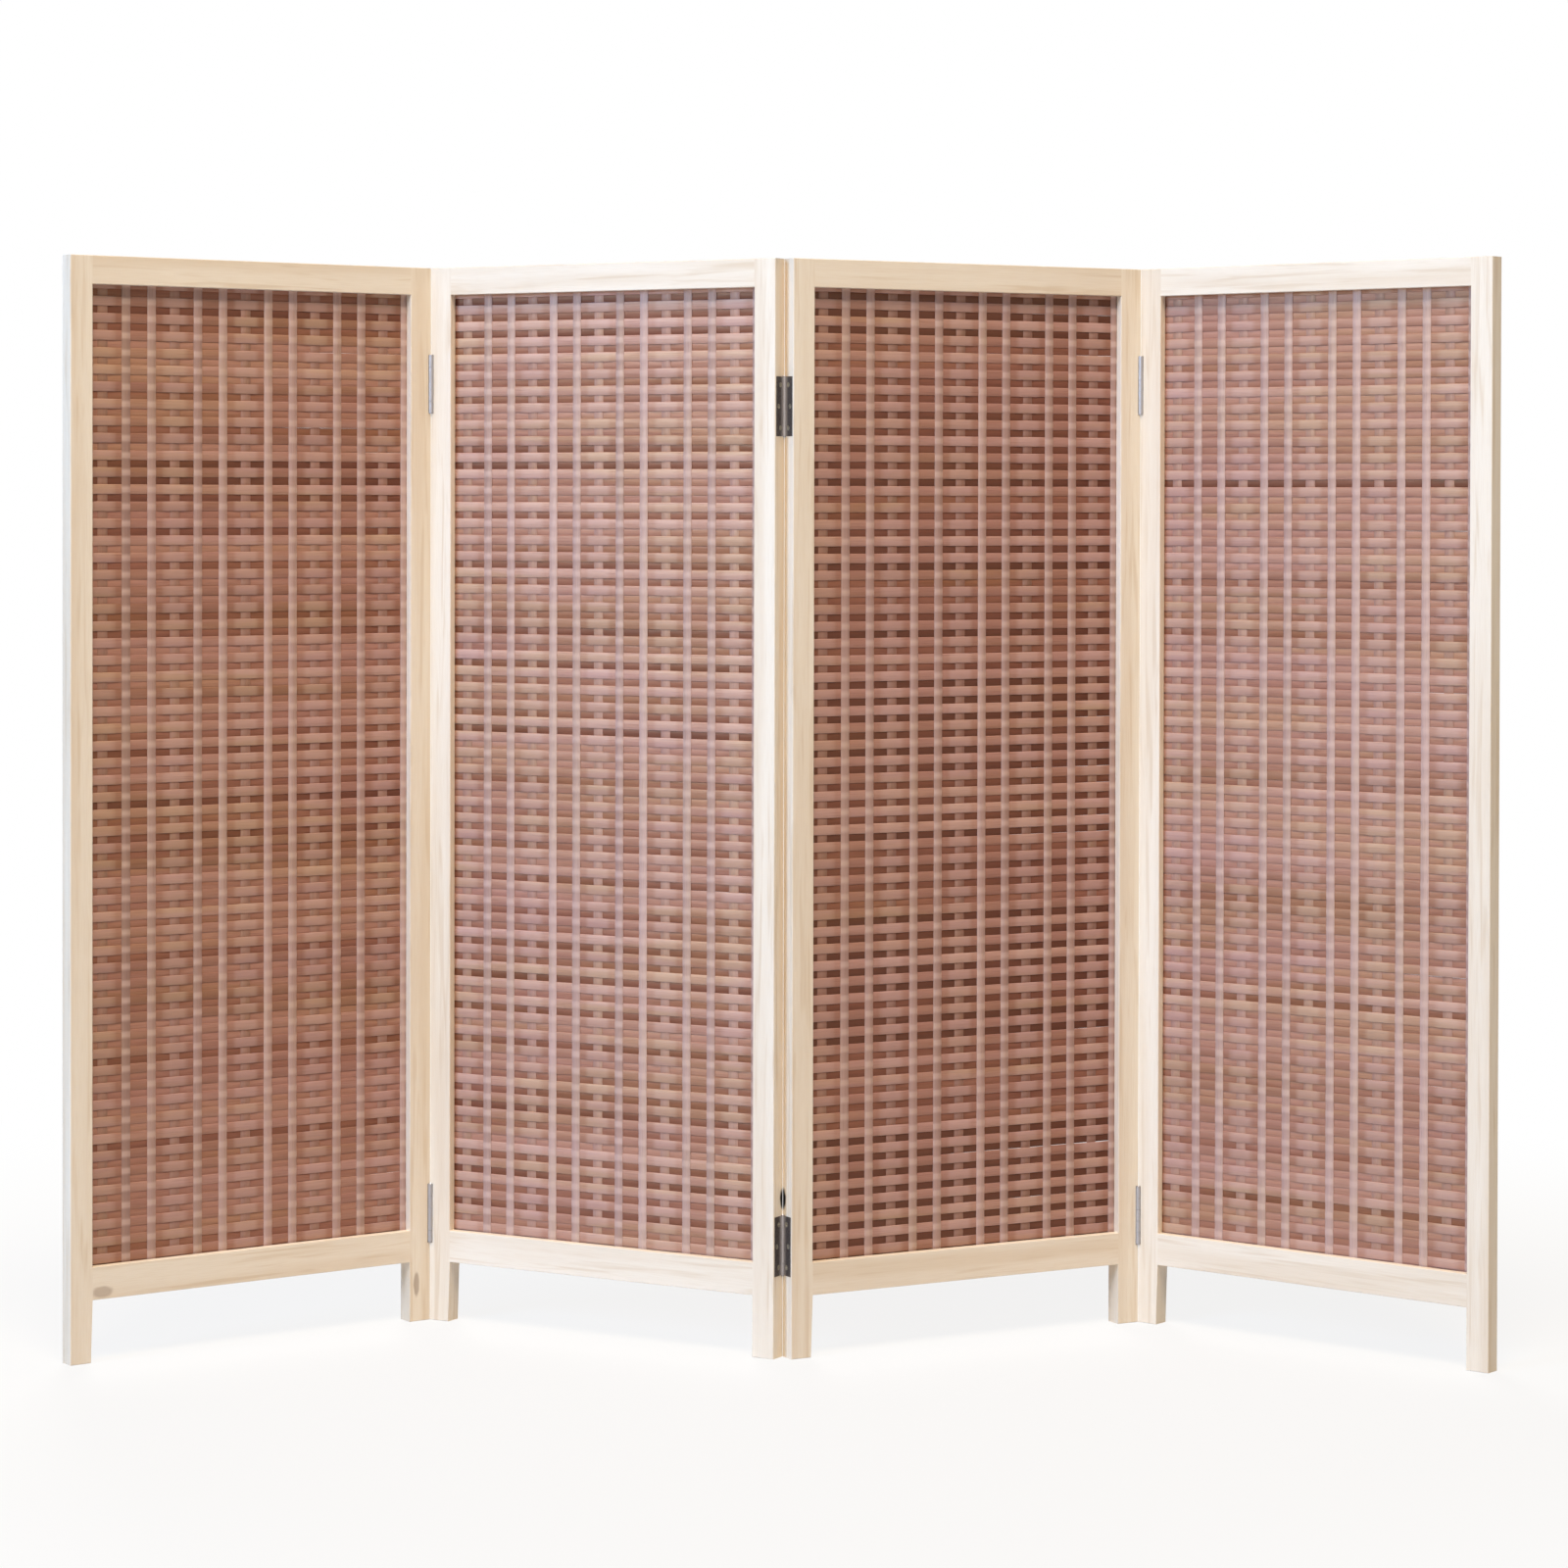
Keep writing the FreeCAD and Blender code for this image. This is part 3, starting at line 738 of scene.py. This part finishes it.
def wovenSlats(number, index, kind, sizes):
    return grownMesh(slatNodes, {
        "Rows": weave["rows"], "Row Pitch": weave["rowPitch"], "First Row": sizes["firstRow"],
        "Left": slatLeft, "Right": slatRight, "Slat Width": sizes["width"],
        "Slat Thickness": sizes["thickness"], "Stations": weave["slatStations"],
        "Middle Depth": sizes["depth"], "Swing": sizes["swing"],
        "First Core": firstCore, "Repeat": weave["repeat"],
        "Flat At Core": weave["flatAtCore"], "Flat At Binding": weave["flatAtBinding"],
        **tintValues(number, kind), "Seed": weave["slatSeed"] * number + index,
        "Material": stained[kind],
    }, f"{kind}Slats_{number}")


def wovenStrips(number, index, kind, sizes, offset, count):
    return grownMesh(stripNodes, {
        "Strips": count, "First Strip": firstCore + offset, "Strip Spacing": weave["repeat"],
        "Bottom": weave["bottom"], "Top": weave["top"], "Strip Width": sizes["width"],
        "Strip Thickness": sizes["thickness"],
        "Stations": weave["rows"] * weave["stationsPerRow"],
        "Middle Depth": sizes["depth"], "Swing": sizes["swing"],
        "Wide Row": wideSlats["firstRow"], "Row Pitch": weave["rowPitch"],
        **tintValues(number, kind), "Seed": weave["stripSeed"] * number + index,
        "Material": stained[kind],
    }, f"{kind}_{index}_{number}")


for number, place in panelPlaces.items():
    body = f"panel_{number}"
    for index, (kind, sizes) in enumerate((("wide", wideSlats), ("narrow", narrowSlats))):
        mesh = wovenSlats(number, index, kind, sizes)
        name = f"{kind}Slats_{number}"
        keepPiece(mesh, name, place, body, f"{kind}_slats", f"{body}_mat_{kind}_slats")
    meshes = [wovenStrips(number, index, *upright) for index, upright in enumerate(uprights)]
    materials = [stained[upright[0]] for upright in uprights]
    strips = joined(meshes, materials, f"uprightStrips_{number}")
    keepPiece(strips, f"uprightStrips_{number}", place, body, "mat_strips", f"{body}_mat_strips")
    print("mat", number, "woven")


# hinge screws: one cross-recessed screw, set on points by geometry nodes

screw = {
    "headRadius": 2.9 * mm,
    "headHeight": 1.5 * mm,
    "rimShare": 0.97,
    "rimHeight": 0.12 * mm,
    "shankRadius": 1.45 * mm,
    "length": 13 * mm,
    "tipLength": 3 * mm,
    "tipShare": 0.2,
    "segments": 20,
    "slotHalf": 0.42 * mm,
    "slotReach": 1.75 * mm,
    "slotDepth": 1.1 * mm,
    "slotTaper": 0.45,
    "perLeaf": 3,
    "pitch": 23.5 * mm,
    "stagger": 2 * mm,
    "sunk": 0.1 * mm,
    "firstSeed": 500,
}

# where the hinges stand on each panel's edges: kind of joint at its left and right edge
hingeEdges = {
    1: {"right": "valley"},
    2: {"left": "valley", "right": "ridge"},
    3: {"left": "ridge", "right": "valley"},
    4: {"left": "valley"},
}
hingeHeights = {"valley": (122 * mm, 1068 * mm), "ridge": (122 * mm, 1039 * mm)}


def screwMesh():
    # the head's face is at z = 0 and the shank points along +z
    shape = bmesh.new()
    count = screw["segments"]

    def ring(radius, height):
        turns = [2 * math.pi * i / count for i in range(count)]
        return [shape.verts.new((radius * math.cos(turn), radius * math.sin(turn), height))
                for turn in turns]

    rings = [
        ring(screw["headRadius"], 0.0),
        ring(screw["headRadius"] * screw["rimShare"], screw["rimHeight"]),
        ring(screw["shankRadius"], screw["headHeight"]),
        ring(screw["shankRadius"], screw["length"] - screw["tipLength"]),
        ring(screw["shankRadius"] * screw["tipShare"], screw["length"]),
    ]
    for near, far in zip(rings, rings[1:]):
        for i in range(count):
            j = (i + 1) % count
            shape.faces.new((near[i], near[j], far[j], far[i]))
    shape.faces.new(rings[-1])
    half, reach = screw["slotHalf"], screw["slotReach"]
    cross = [
        (reach, -half), (reach, half), (half, half), (half, reach),
        (-half, reach), (-half, half), (-reach, half), (-reach, -half),
        (-half, -half), (-half, -reach), (half, -reach), (half, -half),
    ]
    taper, depth = screw["slotTaper"], screw["slotDepth"]
    rim = [shape.verts.new((x, y, 0)) for x, y in cross]
    floor = [shape.verts.new((x * taper, y * taper, depth)) for x, y in cross]
    edges = []
    for i in range(len(rim)):
        j = (i + 1) % len(rim)
        edges.append(shape.edges.new((rim[i], rim[j])))
        shape.faces.new((rim[i], rim[j], floor[j], floor[i]))
    shape.faces.new(floor)
    for i in range(count):
        edges.append(shape.edges.get((rings[0][i], rings[0][(i + 1) % count])))
    bmesh.ops.triangle_fill(shape, edges=edges, use_beauty=True)
    bmesh.ops.recalc_face_normals(shape, faces=shape.faces)
    mesh = bpy.data.meshes.new("hingeScrew")
    shape.to_mesh(mesh)
    shape.free()
    return mesh


def screwPlaces(number):
    # (x, depth, z) of each head's face and the way into the wood along local x
    found = []
    for edge, kind in hingeEdges[number].items():
        into = 1 if edge == "left" else -1
        x = screw["sunk"] if edge == "left" else panel["width"] - screw["sunk"]
        for middle in hingeHeights[kind]:
            for i in range(screw["perLeaf"]):
                stagger = screw["stagger"] if i % 2 else -screw["stagger"]
                depth = panel["thickness"] / 2 + stagger
                if kind == "ridge":
                    depth = panel["thickness"] - depth
                height = middle + (i - (screw["perLeaf"] - 1) / 2) * screw["pitch"]
                found.append(((x, depth, height), into))
    return found


def screwTree():
    tree, asked, given = newTree("hingeScrews", {
        "Places": "object", "Screw": "object", "Seed": int, "Material": "material",
    })
    places = put(tree, "GeometryNodeObjectInfo", {"Object": asked["Places"]}).outputs["Geometry"]
    head = put(tree, "GeometryNodeObjectInfo", {"Object": asked["Screw"]}).outputs["Geometry"]
    into = put(tree, "GeometryNodeInputNamedAttribute", {"Name": "into"},
               data_type="FLOAT_VECTOR").outputs[0]
    roll = put(tree, "FunctionNodeRandomValue", {
        "Min": 0.0, "Max": math.pi, "Seed": asked["Seed"],
    }, data_type="FLOAT").outputs[1]
    aimed = put(tree, "FunctionNodeAlignRotationToVector", {"Vector": into}, axis="Z").outputs[0]
    rolled = put(tree, "FunctionNodeAxisAngleToRotation", {
        "Axis": (0, 0, 1), "Angle": roll,
    }).outputs[0]
    both = put(tree, "FunctionNodeRotateRotation", {"Rotation": aimed, "Rotate By": rolled},
               rotation_space="LOCAL").outputs[0]
    return endTree(tree, setOnPoints(tree, places, head, both), asked, given)


screwNodes = screwTree()
screwShape = bpy.data.objects.new("screwShape", screwMesh())
for number, place in panelPlaces.items():
    found = screwPlaces(number)
    points = bpy.data.meshes.new("screwPoints")
    points.from_pydata([centre for centre, into in found], [], [])
    into = points.attributes.new("into", "FLOAT_VECTOR", "POINT")
    for item, (centre, way) in zip(into.data, found):
        item.vector = (way, 0, 0)
    mesh = grownMesh(screwNodes, {
        "Places": bpy.data.objects.new("screwPoints", points), "Screw": screwShape,
        "Seed": screw["firstSeed"] + number, "Material": screwMetal,
    }, f"hingeScrews_{number}")
    keepPiece(mesh, f"hingeScrews_{number}", place, f"panel_{number}", "screw_steel",
              f"panel_{number}_hinge_screws")
print("hinge screws set")


# floor, backdrop, light and camera

studio = {
    "floorSize": 30.0,
    "floorColor": rgb(205, 205, 205),
    "floorRoughness": 0.9,
    "floorWhite": 0.82,
    "whiteSpan": (0.8, 2.0),
    "white": (1, 1, 1, 1),
    "ambient": (1.0, 0.96, 0.92, 1.0),
    "ambientStrength": 0.1,
}


def seenByEye(tree):
    # 1 where the camera sees it, straight or in gloss or glass
    path = put(tree, "ShaderNodeLightPath").outputs
    bent = calc(tree, "MAXIMUM", path["Is Glossy Ray"], path["Is Transmission Ray"])
    return calc(tree, "MAXIMUM", path["Is Camera Ray"], bent)


def whiteFloor():
    mesh = bpy.data.meshes.new("floor")
    half = studio["floorSize"] / 2
    corners = [(-half, -half, 0), (half, -half, 0), (half, half, 0), (-half, half, 0)]
    mesh.from_pydata(corners, [], [(0, 1, 2, 3)])
    floor = bpy.data.objects.new("floor", mesh)
    scene.collection.objects.link(floor)
    material, tree, shader = newMaterial("floorPaper")
    shader.inputs["Base Color"].default_value = studio["floorColor"]
    shader.inputs["Roughness"].default_value = studio["floorRoughness"]
    glow = put(tree, "ShaderNodeEmission", {"Color": studio["white"], "Strength": 1.0}).outputs[0]
    # the paper fades to plain white away from the screen, so no horizon shows
    away = vectorCalc(tree, "LENGTH", objectPlace(tree))
    white = ranged(tree, away, studio["whiteSpan"], studio["floorWhite"], 1.0)
    share = calc(tree, "MULTIPLY", seenByEye(tree), white)
    blend = put(tree, "ShaderNodeMixShader", {0: share, 1: shader.outputs[0], 2: glow}).outputs[0]
    tree.links.new(blend, tree.nodes["Material Output"].inputs["Surface"])
    mesh.materials.append(material)
    floor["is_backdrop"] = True


def studioWorld():
    world = bpy.data.worlds.new("studio")
    scene.world = world
    world.use_nodes = True
    tree = world.node_tree
    background = tree.nodes["Background"]
    seen = seenByEye(tree)
    color = mixColors(tree, seen, studio["ambient"], studio["white"])
    tree.links.new(color, background.inputs["Color"])
    strength = ranged(tree, seen, (0, 1), studio["ambientStrength"], 1.0, "LINEAR")
    tree.links.new(strength, background.inputs["Strength"])


# lamps by bearing (degrees left of the camera's), elevation and distance from the screen's
# middle: a cool one from the left, a warm one above the front and one behind
lamps = {
    "key": {"bearing": 52, "elevation": 20, "distance": 8, "size": 2.8, "power": 455,
            "color": (0.41, 0.65, 1.0)},
    "front": {"bearing": -1, "elevation": 62, "distance": 8, "size": 3.0, "power": 688,
              "color": (1.0, 0.81, 0.57)},
    "back": {"bearing": 170, "elevation": 20, "distance": 8, "size": 3.0, "power": 430,
             "color": (1.0, 0.97, 0.93)},
}


def addLamp(name, settings):
    light = bpy.data.lights.new(name, "AREA")
    light.size = settings["size"]
    light.energy = settings["power"]
    light.color = settings["color"]
    lamp = bpy.data.objects.new(name, light)
    scene.collection.objects.link(lamp)
    bearing, elevation = math.radians(settings["bearing"]), math.radians(settings["elevation"])
    level = math.cos(elevation)
    way = Vector((-math.sin(bearing) * level, -math.cos(bearing) * level, math.sin(elevation)))
    lamp.location = way * settings["distance"] + Vector((0, 0, panel["height"] / 2))
    lamp.rotation_euler = way.to_track_quat("Z", "Y").to_euler()


cameraSettings = {
    "place": (4.9 * mm, -4658.2 * mm, 938.8 * mm),
    "pitchDown": 0.698,
    "roll": 0.123,
    "lens": 96.525,
    "sensor": 36.0,
    "shiftUp": -0.14951,
    "farClip": 100,
}


def addCamera():
    data = bpy.data.cameras.new("photoCamera")
    data.lens = cameraSettings["lens"]
    data.sensor_width = cameraSettings["sensor"]
    data.shift_y = cameraSettings["shiftUp"]
    data.clip_end = cameraSettings["farClip"]
    camera = bpy.data.objects.new("photoCamera", data)
    scene.collection.objects.link(camera)
    look = Matrix.Rotation(math.radians(90 - cameraSettings["pitchDown"]), 4, "X")
    roll = Matrix.Rotation(math.radians(cameraSettings["roll"]), 4, "Z")
    camera.matrix_world = Matrix.Translation(cameraSettings["place"]) @ look @ roll
    scene.camera = camera


whiteFloor()
studioWorld()
for name, settings in lamps.items():
    addLamp(name, settings)
addCamera()
scene.view_settings.view_transform = "Standard"
print("stage, lamps and camera ready")

sizes = {"cad": [list(corner) for corner in cadBox], "visual": [list(corner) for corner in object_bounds()]}
